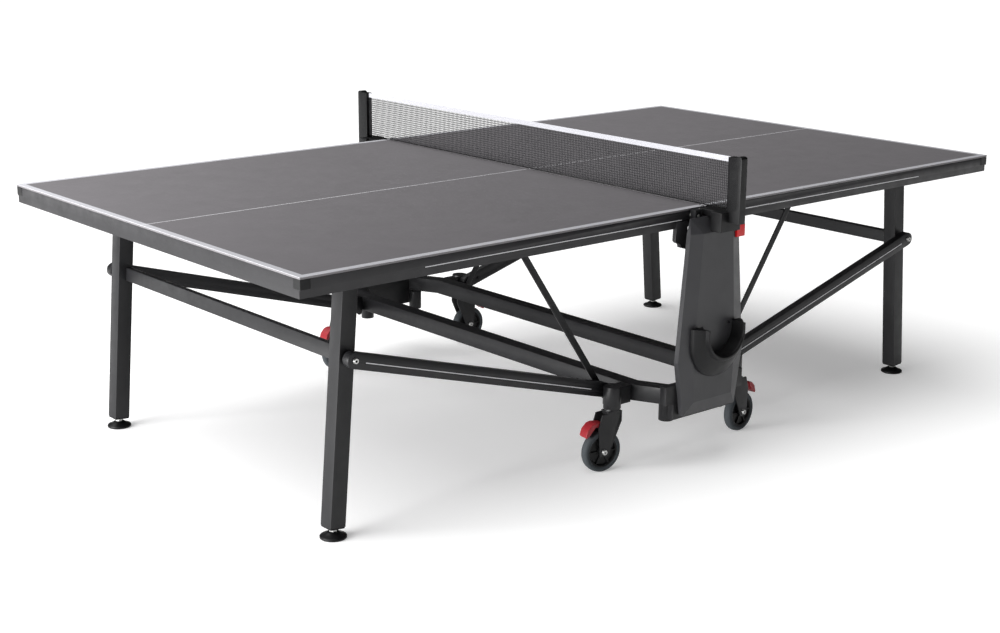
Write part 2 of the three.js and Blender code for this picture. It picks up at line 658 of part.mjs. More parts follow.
node("net_mesh", block([-0.8, 0.8], NET_Y, [NET_BOTTOM_Z, TAPE_BOTTOM_Z - FIT_GAP]), NET_CORD);
node("net_tape", block([-2, 2], NET_Y, [TAPE_BOTTOM_Z, NET_TOP_Z]), TAPE_WHITE);

// ---- castors --------------------------------------------------------------

// A castor is shaped with its swivel on the Z axis and its wheel trailing along -X.
const FORK_INNER = WHEEL_WIDTH / 2 + 1.5;
const FORK_PLATE = 4;
const AXLE_PIN_RADIUS = 5;
const CHEEK_TOP_Z = 150;

function fork() {
  const cheek = new THREE.Shape([
    new THREE.Vector2(-TRAIL - 14, WHEEL_RADIUS - 12),
    new THREE.Vector2(-TRAIL + 14, WHEEL_RADIUS - 12),
    new THREE.Vector2(22, CHEEK_TOP_Z),
    new THREE.Vector2(22, FORK_TOP_Z - 6),
    new THREE.Vector2(-TRAIL - 8, FORK_TOP_Z - 12),
    new THREE.Vector2(-TRAIL - 20, CHEEK_TOP_Z - 14),
  ]);
  const cheeks = [-1, 1].map((side) =>
    plateAcrossY(cheek, sorted(side * FORK_INNER, side * (FORK_INNER + FORK_PLATE))),
  );
  const outer = FORK_INNER + FORK_PLATE;
  const crown = block([-24, 22], [-outer, outer], [FORK_TOP_Z - 16, FORK_TOP_Z - 6]);
  const head = barAlongZ(0, 0, SOCKET_RADIUS - 3, [FORK_TOP_Z - 8, FORK_TOP_Z]);
  const kingpin = barAlongZ(0, 0, KINGPIN_RADIUS, [FORK_TOP_Z - 8, SOCKET_BOTTOM_Z + 9], 16);
  const pin = barAlongY(-TRAIL, WHEEL_RADIUS, AXLE_PIN_RADIUS, [-outer, outer]);
  return join(...cheeks, crown, head, kingpin, pin);
}

function wheel() {
  const half = WHEEL_WIDTH / 2;
  const profile = [
    [AXLE_PIN_RADIUS + 0.6, -half],
    [WHEEL_RADIUS - 5, -half],
    [WHEEL_RADIUS, -half + 7],
    [WHEEL_RADIUS, half - 7],
    [WHEEL_RADIUS - 5, half],
    [AXLE_PIN_RADIUS + 0.6, half],
    [AXLE_PIN_RADIUS + 0.6, -half],
  ].map(([r, y]) => new THREE.Vector2(r, y));
  return new THREE.LatheGeometry(profile, 30).translate(-TRAIL, 0, WHEEL_RADIUS);
}

function brakePedal() {
  const outline = new THREE.Shape([
    new THREE.Vector2(-TRAIL - 10, CHEEK_TOP_Z - 10),
    new THREE.Vector2(-TRAIL - 4, CHEEK_TOP_Z + 2),
    new THREE.Vector2(-TRAIL - 30, CHEEK_TOP_Z + 5),
    new THREE.Vector2(-TRAIL - 48, CHEEK_TOP_Z - 8),
    new THREE.Vector2(-TRAIL - 60, CHEEK_TOP_Z - 30),
    new THREE.Vector2(-TRAIL - 52, CHEEK_TOP_Z - 32),
    new THREE.Vector2(-TRAIL - 38, CHEEK_TOP_Z - 16),
  ]);
  return plateAcrossY(outline, [-FORK_INNER + 1, FORK_INNER - 1]);
}

// How far each castor has turned about its swivel, in degrees, from trailing along -X.
const CASTOR_TURN = { near_left: -10, near_right: 186, far_left: 6, far_right: 176 };

for (const [end, sy] of SIDES_Y) {
  for (const [side, sx] of SIDES_X) {
    const turn = THREE.MathUtils.degToRad(CASTOR_TURN[`${end}_${side}`]);
    const pieces = [
      [`${end}_${side}_castor_fork`, fork(), BLACK_STEEL],
      [`${end}_${side}_wheel`, wheel(), TYRE_RUBBER],
      [`${end}_${side}_brake_pedal`, brakePedal(), RED_PLASTIC],
    ];
    for (const [name, geometry, material] of pieces) {
      const mesh = node(name, geometry, material);
      mesh.rotation.z = turn;
      mesh.position.set(sx * CASTOR_X, sy * CASTOR_Y, 0);
    }
  }
}

export default table;
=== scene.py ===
import json
import math
import bmesh
import bpy
from mathutils import Matrix, Vector

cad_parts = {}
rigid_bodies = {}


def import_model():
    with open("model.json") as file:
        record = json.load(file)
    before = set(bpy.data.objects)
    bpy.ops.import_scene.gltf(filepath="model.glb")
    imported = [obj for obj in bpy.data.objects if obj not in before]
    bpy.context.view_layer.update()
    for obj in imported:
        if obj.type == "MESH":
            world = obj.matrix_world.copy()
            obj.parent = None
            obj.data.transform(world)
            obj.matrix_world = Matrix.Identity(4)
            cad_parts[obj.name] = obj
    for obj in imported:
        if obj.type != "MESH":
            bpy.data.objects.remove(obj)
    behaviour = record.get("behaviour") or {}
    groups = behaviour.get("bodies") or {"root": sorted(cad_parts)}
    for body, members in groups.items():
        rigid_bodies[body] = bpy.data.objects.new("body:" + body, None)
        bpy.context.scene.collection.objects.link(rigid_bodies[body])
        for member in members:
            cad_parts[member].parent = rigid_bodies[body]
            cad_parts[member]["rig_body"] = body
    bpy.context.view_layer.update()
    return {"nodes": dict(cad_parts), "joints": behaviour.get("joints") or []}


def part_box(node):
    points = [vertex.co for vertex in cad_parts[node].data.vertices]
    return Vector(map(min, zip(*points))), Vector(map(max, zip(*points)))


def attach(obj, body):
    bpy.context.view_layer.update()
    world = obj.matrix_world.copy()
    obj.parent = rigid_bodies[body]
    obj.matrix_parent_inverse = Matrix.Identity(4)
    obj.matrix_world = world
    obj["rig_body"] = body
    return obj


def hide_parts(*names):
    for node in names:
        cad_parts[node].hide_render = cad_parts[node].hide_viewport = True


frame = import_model()
joint = {j["name"]: j for j in frame["joints"]}
scene = bpy.context.scene

# ---- Studio ---------------------------------------------------------------
# A pale floor that runs far behind the table under a sky that darkens towards the near side, one wide
# soft light overhead and a large bright panel past the left end, which lights the end faces.

eye = Vector((-3.478139, -3.983286, 1.694307))
sight_right = Vector((0.764749, -0.644315, 0.004156))
sight_up = Vector((0.164027, 0.200916, 0.965779))
sight_ahead = Vector((0.623101, 0.737896, -0.259335))
camera_data = bpy.data.cameras.new("camera")
camera_data.sensor_width = 36
camera_data.lens = 60.71
camera_data.clip_end = 200
camera = bpy.data.objects.new("camera", camera_data)
turn = Matrix((sight_right, sight_up, -sight_ahead)).transposed().to_4x4()
camera.matrix_world = Matrix.Translation(eye) @ turn
scene.collection.objects.link(camera)
scene.camera = camera
scene.view_settings.view_transform = "Standard"


def new_object(name, data):
    made = bpy.data.objects.new(name, data)
    scene.collection.objects.link(made)
    return made


def node_material(name):
    material = bpy.data.materials.new(name)
    material.use_nodes = True
    tree = material.node_tree
    return material, tree, tree.nodes["Principled BSDF"]


floor_material, floor_tree, floor_shader = node_material("studio_floor")
floor_shader.inputs["Roughness"].default_value = 0.9
floor_shader.inputs["Specular IOR Level"].default_value = 0.0
floor_noise = floor_tree.nodes.new("ShaderNodeTexNoise")
floor_noise.inputs["Scale"].default_value = 0.4
floor_tone = floor_tree.nodes.new("ShaderNodeValToRGB")
floor_tone.color_ramp.elements[0].color = (0.84, 0.84, 0.84, 1)
floor_tone.color_ramp.elements[1].color = (0.86, 0.86, 0.86, 1)
floor_tree.links.new(floor_noise.outputs["Fac"], floor_tone.inputs["Fac"])
floor_tree.links.new(floor_tone.outputs["Color"], floor_shader.inputs["Base Color"])
floor_shader.inputs["Emission Color"].default_value = (1, 1, 1, 1)
floor_shader.inputs["Emission Strength"].default_value = 0.30
floor_mesh = bpy.data.meshes.new("studio_floor")
floor_reach = 60
floor_corners = [(-1, -1), (1, -1), (1, 1), (-1, 1)]
floor_mesh.from_pydata([(x * floor_reach, y * floor_reach, 0) for x, y in floor_corners], [], [(0, 1, 2, 3)])
floor_mesh.materials.append(floor_material)
new_object("studio_floor", floor_mesh)

sky = bpy.data.worlds.new("studio_sky")
sky.use_nodes = True
sky_tree = sky.node_tree
sky_way = sky_tree.nodes.new("ShaderNodeTexCoord")
sky_apart = sky_tree.nodes.new("ShaderNodeSeparateXYZ")
sky_fall = sky_tree.nodes.new("ShaderNodeMapRange")
sky_fall.inputs["From Min"].default_value = -0.75
sky_fall.inputs["From Max"].default_value = 0.25
sky_fall.inputs["To Min"].default_value = 0.06
sky_fall.inputs["To Max"].default_value = 1.0
sky_tree.links.new(sky_way.outputs["Generated"], sky_apart.inputs["Vector"])
sky_tree.links.new(sky_apart.outputs["Y"], sky_fall.inputs["Value"])
sky_tree.links.new(sky_fall.outputs["Result"], sky_tree.nodes["Background"].inputs["Strength"])
scene.world = sky

overhead = bpy.data.lights.new("overhead", "SUN")
overhead.energy = 3.1
overhead.angle = math.radians(70)
overhead_lamp = new_object("overhead", overhead)
overhead_lamp.rotation_euler = Vector((-0.35, 0.25, 1)).to_track_quat("Z", "Y").to_euler()

panel = bpy.data.lights.new("left_panel", "AREA")
panel.shape = "RECTANGLE"
panel.size = 5
panel.size_y = 2.6
panel.energy = 900
panel_lamp = new_object("left_panel", panel)
panel_lamp.location = (-7.5, 0.8, 1.5)
panel_lamp.rotation_euler = Vector((-1, 0.1, 0.12)).to_track_quat("Z", "Y").to_euler()

# ---- Playing tops ---------------------------------------------------------
# Two weatherproof resin boards, grey and faintly textured, with 20 mm white border lines and a
# 3 mm white line down the middle of the length. The copies take a small worked edge all round.


def noise_of(tree, scale, detail=3.0, stretch=(1, 1, 1)):
    """Noise on the piece's own coordinates, from 0 to 1."""
    place = tree.nodes.new("ShaderNodeTexCoord")
    mapping = tree.nodes.new("ShaderNodeMapping")
    mapping.inputs["Scale"].default_value = stretch
    noise = tree.nodes.new("ShaderNodeTexNoise")
    noise.inputs["Scale"].default_value = scale
    noise.inputs["Detail"].default_value = detail
    tree.links.new(place.outputs["Object"], mapping.inputs["Vector"])
    tree.links.new(mapping.outputs["Vector"], noise.inputs["Vector"])
    return noise.outputs["Fac"]


def ranged(tree, value, low, high):
    remap = tree.nodes.new("ShaderNodeMapRange")
    remap.inputs["From Min"].default_value = 0.3
    remap.inputs["From Max"].default_value = 0.7
    remap.inputs["To Min"].default_value = low
    remap.inputs["To Max"].default_value = high
    tree.links.new(value, remap.inputs["Value"])
    return remap.outputs["Result"]


def mixed(tree, factor, first, second):
    """Two colours, or colour sockets, mixed by a factor socket."""
    mix = tree.nodes.new("ShaderNodeMix")
    mix.data_type = "RGBA"
    tree.links.new(factor, mix.inputs["Factor"])
    for socket, colour in ((mix.inputs[6], first), (mix.inputs[7], second)):
        if isinstance(colour, bpy.types.NodeSocket):
            tree.links.new(colour, socket)
        else:
            socket.default_value = (*colour, 1)
    return mix.outputs[2]


def finish_of(name, dark, light, rough=(0.4, 0.55), grain=700.0, depth=0.00012, metal=0.0, gloss=0.35):
    """A coated or moulded finish: cloudy colour, uneven roughness and a fine raised grain."""
    material, tree, shader = node_material(name)
    clouds = noise_of(tree, 9.0, 5.0)
    shade = mixed(tree, ranged(tree, clouds, 0, 1), dark, light)
    tree.links.new(shade, shader.inputs["Base Color"])
    tree.links.new(ranged(tree, noise_of(tree, 31.0, 6.0), *rough), shader.inputs["Roughness"])
    shader.inputs["Metallic"].default_value = metal
    shader.inputs["Specular IOR Level"].default_value = gloss
    bump = tree.nodes.new("ShaderNodeBump")
    bump.inputs["Strength"].default_value = 0.5
    bump.inputs["Distance"].default_value = depth
    tree.links.new(noise_of(tree, grain, 2.0), bump.inputs["Height"])
    tree.links.new(bump.outputs["Normal"], shader.inputs["Normal"])
    return material


def worked_edge(piece, radius, segments, sharpest=35):
    """Rounds over every edge that turns by more than an angle in degrees."""
    rounding = piece.modifiers.new("worked edge", "BEVEL")
    rounding.width = radius
    rounding.segments = segments
    rounding.limit_method = "ANGLE"
    rounding.angle_limit = math.radians(sharpest)
    rounding.harden_normals = True


def softened(name, source, radius, material, segments=2):
    """A copy of a frame node with its sharp edges rounded over, riding where the node rides."""
    node = frame["nodes"][source]
    mesh = node.data.copy()
    mesh.name = name
    work = bmesh.new()
    work.from_mesh(mesh)
    bmesh.ops.remove_doubles(work, verts=work.verts, dist=1e-5)
    bmesh.ops.dissolve_limit(work, angle_limit=math.radians(2), verts=work.verts, edges=work.edges)
    work.to_mesh(mesh)
    work.free()
    mesh.materials.clear()
    mesh.materials.append(material)
    for face in mesh.polygons:
        face.use_smooth = True
    piece = new_object(name, mesh)
    worked_edge(piece, radius, segments)
    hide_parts(source)
    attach(piece, node["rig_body"])
    return piece


def inside_band(tree, value, middle, half):
    """1 where the value lies within half of the middle, and 0 elsewhere."""
    compare = tree.nodes.new("ShaderNodeMath")
    compare.operation = "COMPARE"
    compare.inputs[1].default_value = middle
    compare.inputs[2].default_value = half
    tree.links.new(value, compare.inputs[0])
    return compare.outputs[0]


def combined(tree, operation, first, second):
    math_node = tree.nodes.new("ShaderNodeMath")
    math_node.operation = operation
    tree.links.new(first, math_node.inputs[0])
    tree.links.new(second, math_node.inputs[1])
    return math_node.outputs[0]


def own_axes(tree):
    """The piece's own x, y and z, with x and y taken as distances from the middle."""
    place = tree.nodes.new("ShaderNodeTexCoord")
    apart = tree.nodes.new("ShaderNodeSeparateXYZ")
    tree.links.new(place.outputs["Object"], apart.inputs["Vector"])
    distances = []
    for axis in "XY":
        absolute = tree.nodes.new("ShaderNodeMath")
        absolute.operation = "ABSOLUTE"
        tree.links.new(apart.outputs[axis], absolute.inputs[0])
        distances.append(absolute.outputs[0])
    return *distances, apart.outputs["Z"]


board_edge = 0.0008
top_low, top_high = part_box("left_playing_top")
half_length = -top_low.x
half_width = top_high.y
border = 0.020
centre_line = 0.003
line_white = (0.52, 0.52, 0.55)
centre_white = (0.85, 0.85, 0.88)
board_dark = (0.162, 0.154, 0.162)
board_light = (0.171, 0.162, 0.171)
board_paint = finish_of(
    "playing_surface_paint", board_dark, board_light,
    rough=(0.5, 0.62), grain=900.0, depth=0.00006,
)
tree = board_paint.node_tree
shader = tree.nodes["Principled BSDF"]
along, across, height = own_axes(tree)
line_reach = border / 2 + 0.0002
end_line = inside_band(tree, along, half_length - border / 2, line_reach)
side_line = inside_band(tree, across, half_width - border / 2, line_reach)
middle_line = inside_band(tree, across, 0, centre_line / 2)
on_top = inside_band(tree, height, top_high.z, 0.0009)
borders = combined(tree, "MULTIPLY", combined(tree, "MAXIMUM", end_line, side_line), on_top)
centred = combined(tree, "MULTIPLY", middle_line, on_top)
board_colour = shader.inputs["Base Color"].links[0].from_socket
bordered = mixed(tree, borders, board_colour, line_white)
tree.links.new(mixed(tree, centred, bordered, centre_white), shader.inputs["Base Color"])
for side in ("left", "right"):
    softened(f"{side}_board", f"{side}_playing_top", board_edge, board_paint)

# ---- Apron frames ---------------------------------------------------------
# Folded and welded sheet steel under each board, powder coated, with a step along both long sides
# that carries a painted highlight, a fine white line where light catches its edge, and black moulded caps
# over the two outer corners.

apron_dark = (0.0150, 0.0145, 0.0160)
apron_light = (0.0185, 0.0180, 0.0200)
apron_coat_and_highlight = finish_of(
    "apron_powder_coat_and_painted_highlight", apron_dark, apron_light,
    rough=(0.36, 0.5), grain=1100.0, depth=0.00008, gloss=0.3,
)
tree = apron_coat_and_highlight.node_tree
shader = tree.nodes["Principled BSDF"]
along, across, height = own_axes(tree)
# The white line along the outer face of the step is a painted highlight: light caught on the step's edge,
# painted into the apron's colour.
step_highlight_white = (0.62, 0.62, 0.64)
highlight_from, highlight_to = 0.09, 1.00
highlight_height = 0.7295
highlight_width = 0.0022
sheet_in = 0.001
apron_depth = 0.054
apron_end_x = half_length - sheet_in
apron_side_y = half_width - sheet_in
apron_top_z = top_low.z - 0.0003
apron_low_z = top_high.z - apron_depth
highlight_along = inside_band(tree, along, (highlight_from + highlight_to) / 2, (highlight_to - highlight_from) / 2)
highlight_up = inside_band(tree, height, highlight_height, highlight_width / 2)
highlight_out = inside_band(tree, across, apron_side_y, 0.0015)
painted_step_highlight = combined(tree, "MULTIPLY", combined(tree, "MULTIPLY", highlight_along, highlight_up), highlight_out)
steel_colour = shader.inputs["Base Color"].links[0].from_socket
tree.links.new(mixed(tree, painted_step_highlight, steel_colour, step_highlight_white), shader.inputs["Base Color"])
for side in ("left", "right"):
    softened(f"{side}_apron", f"{side}_apron_frame", 0.0012, apron_coat_and_highlight)


def outlined(points, low, high, flat="z"):
    """A bmesh prism: an outline extruded between low and high along one axis."""
    def at(a, b, c):
        return {"z": (a, b, c), "y": (a, c, b), "x": (c, a, b)}[flat]
    work = bmesh.new()
    bottom = [work.verts.new(at(a, b, low)) for a, b in points]
    top = [work.verts.new(at(a, b, high)) for a, b in points]
    work.faces.new(bottom)
    work.faces.new(top)
    for i in range(len(points)):
        j = (i + 1) % len(points)
        work.faces.new((bottom[i], bottom[j], top[j], top[i]))
    bmesh.ops.recalc_face_normals(work, faces=work.faces)
    return work


def piece_from(name, work, material, body, radius=0.0, segments=2, place=None, smooth=True):
    """Turns mesh work into a finished piece that rides on a body, with rounded edges if asked."""
    if place is not None:
        bmesh.ops.transform(work, matrix=place, verts=work.verts)
        bmesh.ops.recalc_face_normals(work, faces=work.faces)
    mesh = bpy.data.meshes.new(name)
    work.to_mesh(mesh)
    work.free()
    mesh.materials.append(material)
    for face in mesh.polygons:
        face.use_smooth = smooth
    piece = new_object(name, mesh)
    if radius:
        worked_edge(piece, radius, segments)
    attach(piece, body)
    return piece


moulded_dark = (0.0045, 0.0045, 0.0050)
moulded_light = (0.0070, 0.0070, 0.0075)
cap_plastic = finish_of(
    "black_moulding", moulded_dark, moulded_light,
    rough=(0.34, 0.48), grain=1500.0, depth=0.00006, gloss=0.22,
)
cap_arm = 0.030
cap_edge = 0.0003
cap_wall = 0.0007
cap_foot_z = apron_low_z + 0.0222
for side, sx in (("left", -1), ("right", 1)):
    for end, sy in (("near", -1), ("far", 1)):
        outer_x = sx * (apron_end_x + cap_wall)
        outer_y = sy * (apron_side_y + cap_wall)
        inner_x = sx * (apron_end_x - 0.0005)
        inner_y = sy * (apron_side_y - 0.0005)
        corner = outlined(
            [
                (outer_x, outer_y), (outer_x - sx * cap_arm, outer_y), (outer_x - sx * cap_arm, inner_y),
                (inner_x, inner_y), (inner_x, outer_y - sy * cap_arm), (outer_x, outer_y - sy * cap_arm),
            ],
            cap_foot_z, apron_top_z,
        )
        body = f"{side}_table_half"
        piece_from(f"{end}_{side}_corner_cap", corner, cap_plastic, body, cap_edge)

# ---- Leg frames -----------------------------------------------------------
# Square steel tubes with a crossbar welded between each pair, powder coated black. Each leg has a
# moulded plug pressed into its foot, which holds the nut for the levelling foot.

steel_paint = finish_of(
    "black_powder_coat", (0.0095, 0.0095, 0.0105), (0.0130, 0.0130, 0.0142),
    rough=(0.34, 0.48), grain=1200.0, depth=0.00009, gloss=0.27,
)
for side, sx in (("left", -1), ("right", 1)):
    softened(f"{side}_crossbar", f"{side}_leg_crossbar", 0.0022, steel_paint)
    for end in ("near", "far"):
        softened(f"{end}_{side}_leg_tube", f"{end}_{side}_leg", 0.0032, steel_paint, 3)

leg_lean = math.radians(4.8)
leg_top_x = 1.115
leg_top_z = 0.690
leg_tube = 0.047
leg_end_z = 0.032
leg_y = 0.582


def leg_place(sx, down):
    """The point on a leg's middle line at a distance below its pivot, turned as the leg leans."""
    x = sx * (leg_top_x + math.sin(leg_lean) * down)
    z = leg_top_z - math.cos(leg_lean) * down
    return Matrix.Translation((x, 0, z)) @ Matrix.Rotation(-sx * leg_lean, 4, "Y")


def rectangle(left, right, bottom, top):
    return [(left, bottom), (right, bottom), (right, top), (left, top)]


leg_drop = (leg_top_z - leg_end_z) / math.cos(leg_lean)
plug_half = leg_tube / 2 - 0.001
plug_depth = 0.004
plug_edge = 0.0012
for side, sx in (("left", -1), ("right", 1)):
    for end, sy in (("near", -1), ("far", 1)):
        y = sy * leg_y
        plug = outlined(rectangle(-plug_half, plug_half, y - plug_half, y + plug_half), -plug_depth, 0.0)
        piece_from(
            f"{end}_{side}_leg_plug", plug, cap_plastic, f"{side}_leg_frame", plug_edge,
            place=leg_place(sx, leg_drop),
        )

# ---- Levelling feet -------------------------------------------------------
# A glass-filled nylon disc with a sloping skirt, pressed on a threaded zinc-plated stem that screws
# into the leg's plug and is locked there by a hex nut.


def turned(profile, steps, place=None, closed=False):
    """A shape turned about Z from (radius, height) points; a closed profile makes a ring."""
    work = bmesh.new()
    rings = []
    for radius, height in profile:
        if radius < 1e-7:
            rings.append([work.verts.new((0, 0, height))])
            continue
        ring = []
        for k in range(steps):
            angle = 2 * math.pi * k / steps
            ring.append(work.verts.new((radius * math.cos(angle), radius * math.sin(angle), height)))
        rings.append(ring)
    pairs = list(zip(rings, rings[1:]))
    if closed:
        pairs.append((rings[-1], rings[0]))
    for lower, upper in pairs:
        for k in range(steps):
            j = (k + 1) % steps
            if len(lower) == 1:
                work.faces.new((lower[0], upper[j], upper[k]))
            elif len(upper) == 1:
                work.faces.new((lower[k], lower[j], upper[0]))
            else:
                work.faces.new((lower[k], lower[j], upper[j], upper[k]))
    bmesh.ops.recalc_face_normals(work, faces=work.faces)
    if place is not None:
        bmesh.ops.transform(work, matrix=place, verts=work.verts)
    return work


def added(first, second):
    """One mesh from two: the second is copied into the first."""
    carrier = bpy.data.meshes.new("carrier")
    second.to_mesh(carrier)
    second.free()
    first.from_mesh(carrier)
    bpy.data.meshes.remove(carrier)
    return first


zinc = finish_of(
    "zinc_plate", (0.42, 0.42, 0.41), (0.55, 0.55, 0.54),
    rough=(0.25, 0.42), grain=600.0, depth=0.00004, metal=0.85, gloss=0.5,
)
foot_radius = 0.036
foot_profile = [
    (0, 0), (foot_radius - 0.002, 0), (foot_radius, 0.0015), (foot_radius, 0.0055),
    (foot_radius - 0.0015, 0.0075), (0.030, 0.0088), (0.022, 0.0125), (0.0165, 0.0165),
    (0.0145, 0.0180), (0, 0.0180),
]
thread_pitch = 0.00175
thread_turns = 20
thread_depth = 0.0009
stem_radius = 0.006
stem_foot = -0.0165
nut_profile = [
    (0, -0.0145), (0.0095, -0.0145), (0.011, -0.0135), (0.011, -0.0055), (0.0095, -0.0045), (0, -0.0045),
]
for side, sx in (("left", -1), ("right", 1)):
    for end, sy in (("near", -1), ("far", 1)):
        low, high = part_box(f"{end}_{side}_foot")
        middle = Vector(((low.x + high.x) / 2, (low.y + high.y) / 2, 0))
        disc = turned(foot_profile, 64, Matrix.Translation(middle))
        body = f"{end}_{side}_levelling_foot"
        pad = piece_from(f"{end}_{side}_foot_disc", disc, cap_plastic, body)
        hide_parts(f"{end}_{side}_foot")
        stem_profile = [(0, stem_foot)]
        for k in range(thread_turns):
            stem_profile.append((stem_radius, stem_foot + k * thread_pitch))
            stem_profile.append((stem_radius - thread_depth, stem_foot + (k + 0.5) * thread_pitch))
        stem_profile.append((0, stem_foot + thread_turns * thread_pitch))
        seat = leg_place(sx, leg_drop) @ Matrix.Translation((0, sy * leg_y, 0))
        stem = added(turned(stem_profile, 20, seat), turned(nut_profile, 6, seat))
        piece_from(f"{end}_{side}_foot_stem", stem, zinc, body, smooth=False)

# ---- Struts and links -----------------------------------------------------
# Flat-sided steel tubes that brace each leg to the undercarriage, with a thin white pinstripe along
# the outer face, and a slim flat link beside each strut. Both turn on bolts.

pinstripe_paint = finish_of(
    "pinstripe_paint", (0.60, 0.60, 0.62), (0.68, 0.68, 0.70),
    rough=(0.4, 0.5), grain=900.0, depth=0.00003,
)
strut_low_x, strut_low_z = 0.255, 0.232
strut_drop = 0.206
strut_outer_y = 0.641
strut_slope_x = leg_top_x + math.sin(leg_lean) * strut_drop - strut_low_x
strut_slope_z = leg_top_z - math.cos(leg_lean) * strut_drop - strut_low_z
strut_length = math.hypot(strut_slope_x, strut_slope_z)
stripe_half = 0.0011
stripe_below = 0.0020
stripe_start = 0.060
stripe_stop = strut_length - 0.035
strut_rise = math.atan2(strut_slope_z, strut_slope_x)
for side, sx in (("left", -1), ("right", 1)):
    for end, sy in (("near", -1), ("far", 1)):
        softened(f"{end}_{side}_strut_tube", f"{end}_{side}_strut", 0.0026, steel_paint)
        softened(f"{end}_{side}_link_flat", f"{end}_{side}_link", 0.0012, steel_paint)
        lean = -strut_rise if sx > 0 else math.pi + strut_rise
        lie = Matrix.Translation((sx * strut_low_x, 0, strut_low_z)) @ Matrix.Rotation(lean, 4, "Y")
        drop = -stripe_below if sx > 0 else stripe_below
        bar = rectangle(stripe_start, stripe_stop, drop - stripe_half, drop + stripe_half)
        face_y = sorted((sy * (strut_outer_y - 0.0002), sy * (strut_outer_y + 0.0003)))
        piece_from(
            f"{end}_{side}_strut_pinstripe", outlined(bar, *face_y, "y"), pinstripe_paint,
            f"{end}_{side}_strut_arm", place=lie, smooth=False,
        )

# ---- Undercarriage --------------------------------------------------------
# Two welded cross tubes, the castor sockets on their ends, and a slotted tower at each end of the
# net line, in which the halves' zinc-plated axles slide on nylon shoes.

for side in ("left", "right"):
    softened(f"{side}_cross_tube_coated", f"{side}_cross_tube", 0.0030, steel_paint)
    softened(f"{side}_axle_plated", f"{side}_axle", 0.0006, zinc)
    for end in ("near", "far"):
        corner = f"{end}_{side}"
        softened(f"{corner}_socket_casting", f"{corner}_castor_socket", 0.0012, steel_paint)
        softened(f"{corner}_sliding_shoe", f"{corner}_guide_shoe", 0.0007, cap_plastic)
for end in ("near", "far"):
    softened(f"{end}_tower_weldment", f"{end}_tower_frame", 0.0012, steel_paint)

# ---- Tower covers ---------------------------------------------------------
# One moulded shell in dark grey ABS over each tower, with crisp chamfers down both sides, and a
# black cradle for bats and balls screwed to its front.

cover_plastic = finish_of(
    "tower_moulding", (0.036, 0.036, 0.039), (0.041, 0.041, 0.044),
    rough=(0.32, 0.44), grain=1400.0, depth=0.00010,
)
cover_wall = 0.0035
cover_back = 0.7903
cover_front = 0.820
cover_edge = 0.806
cover_edge_radius = 0.0009
cover_chamfer_angle = 11
cover_top = 0.737
lever_notch_x = 0.074
lever_notch_z = 0.665
cover_waist = 0.325
cover_shoulder = 0.695
rim_sections = [
    (0.163, 0.108, cover_edge), (cover_waist, 0.134, cover_edge), (cover_shoulder, 0.099, cover_edge),
    (cover_top, 0.088, 0.7915),
]
face_sections = [(0.203, 0.079), (cover_waist, 0.085), (cover_shoulder, 0.061)]
brow_half = 0.058
brow_y = 0.7963
for end, sy in (("near", -1), ("far", 1)):
    work = bmesh.new()
    for z, half, y in rim_sections:
        for way in (-1, 1):
            work.verts.new((way * half, sy * y, z))
            work.verts.new((way * half, sy * cover_back, z))
    for z, half in face_sections:
        for way in (-1, 1):
            work.verts.new((way * half, sy * cover_front, z))
    for way in (-1, 1):
        work.verts.new((way * brow_half, sy * brow_y, cover_top))
    bmesh.ops.convex_hull(work, input=work.verts)
    bmesh.ops.delete(work, geom=[v for v in work.verts if not v.link_faces], context="VERTS")
    back = [f for f in work.faces if all(abs(abs(v.co.y) - cover_back) < 1e-6 for v in f.verts)]
    bmesh.ops.delete(work, geom=back, context="FACES")
    for level, way in (((-sy * lever_notch_x, 0, 0), (1, 0, 0)), ((0, 0, lever_notch_z), (0, 0, 1))):
        everything = [*work.verts, *work.edges, *work.faces]
        bmesh.ops.bisect_plane(work, geom=everything, plane_co=level, plane_no=way)
    centres = {f: f.calc_center_median() for f in work.faces}
    opening = [f for f, c in centres.items() if -sy * c.x > lever_notch_x and c.z > lever_notch_z]
    bmesh.ops.delete(work, geom=opening, context="FACES")
    bmesh.ops.dissolve_limit(work, angle_limit=math.radians(1.5), verts=work.verts, edges=work.edges)
    bmesh.ops.recalc_face_normals(work, faces=work.faces)
    if sum(f.normal.y * f.calc_area() for f in work.faces) * sy < 0:
        bmesh.ops.reverse_faces(work, faces=work.faces)
    cover = bpy.data.meshes.new(f"{end}_tower_shell")
    work.to_mesh(cover)
    work.free()
    cover.materials.append(cover_plastic)
    for face in cover.polygons:
        face.use_smooth = True
    shell = new_object(f"{end}_tower_shell", cover)
    wall = shell.modifiers.new("wall", "SOLIDIFY")
    wall.thickness = cover_wall
    wall.offset = -1
    worked_edge(shell, cover_edge_radius, 2, cover_chamfer_angle)
    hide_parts(f"{end}_tower_cover")
    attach(shell, "undercarriage")

